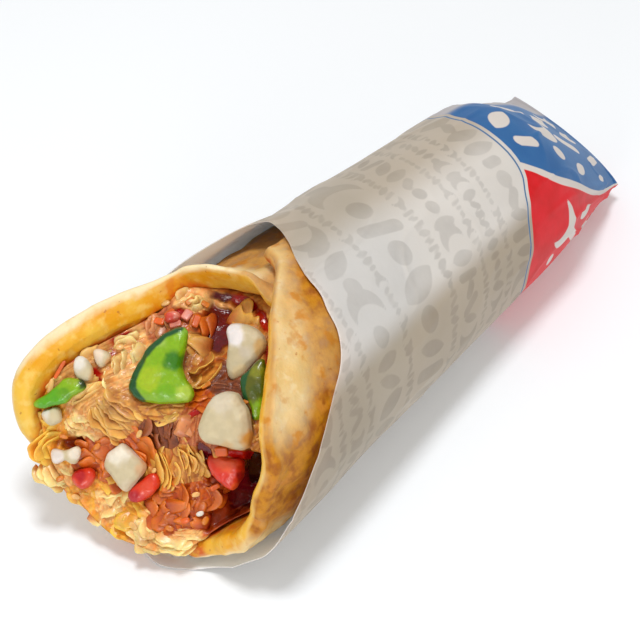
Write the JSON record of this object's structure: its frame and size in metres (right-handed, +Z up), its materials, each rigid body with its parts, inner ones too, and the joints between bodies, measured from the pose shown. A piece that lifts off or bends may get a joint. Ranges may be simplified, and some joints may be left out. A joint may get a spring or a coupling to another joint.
{
  "type": "fajita wrap",
  "caption": "Fajita wrap lying in a paper sleeve: flatbread rolled round shaved chicken, with cheese, green pepper and tomato showing at its slanted open mouth.",
  "frame": {"origin": "centre of the bounding box at the surface that the wrap lies on", "axes": "+X along the wrap from its open mouth at -X to the pinched paper tail, +Z up"},
  "size_m": [0.236, 0.0866, 0.0738],
  "materials": {
    "paper": "satin greaseproof paper with a pale grey print",
    "bread": "soft baked flatbread with toasted patches",
    "chicken": "moist shaved chicken in red sauce",
    "cheese": "smooth white cheese",
    "pepper": "wet cut green pepper",
    "tomato": "wet cut tomato"
  },
  "bodies": {
    "root": {"paper_sleeve": "paper", "flatbread": "bread", "chicken_filling": "chicken", "cheese_chunk_1": "cheese", "cheese_chunk_2": "cheese", "cheese_chunk_3": "cheese", "cheese_chunk_4": "cheese", "cheese_chunk_5": "cheese", "cheese_chunk_6": "cheese", "cheese_chunk_7": "cheese", "pepper_piece_1": "pepper", "pepper_piece_2": "pepper", "pepper_piece_3": "pepper", "tomato_dice_1": "tomato", "tomato_dice_2": "tomato", "tomato_dice_3": "tomato", "tomato_dice_4": "tomato"}
  },
  "joints": []
}
